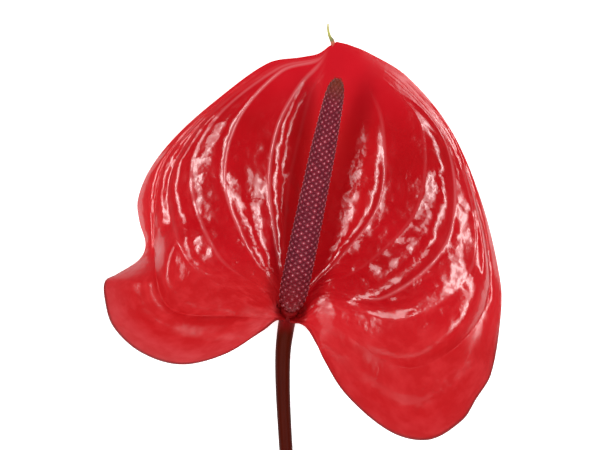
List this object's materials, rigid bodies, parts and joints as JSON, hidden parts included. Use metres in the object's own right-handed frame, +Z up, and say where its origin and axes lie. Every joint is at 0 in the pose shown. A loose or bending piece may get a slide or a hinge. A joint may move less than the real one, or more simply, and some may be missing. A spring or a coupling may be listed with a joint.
{
  "type": "cut anthurium stem",
  "caption": "Single cut anthurium lying down: dark red-brown stalk, glossy red heart-shaped spathe with sunken veins and a slender maroon spadix.",
  "frame": {"origin": "middle of the footprint of the lying flower, on the surface that it rests on", "axes": "+Z up from the surface, out of the spathe's face; +Y from the stalk's cut end towards the spathe's tip; +X to the right as the flower is looked down on"},
  "size_m": [0.1312, 0.3844, 0.0302],
  "materials": {
    "peduncle": "satin",
    "spathe": "gloss",
    "spadix": "matte"
  },
  "bodies": {
    "root": {"peduncle": "peduncle", "spathe": "spathe", "spadix": "spadix"}
  },
  "joints": []
}
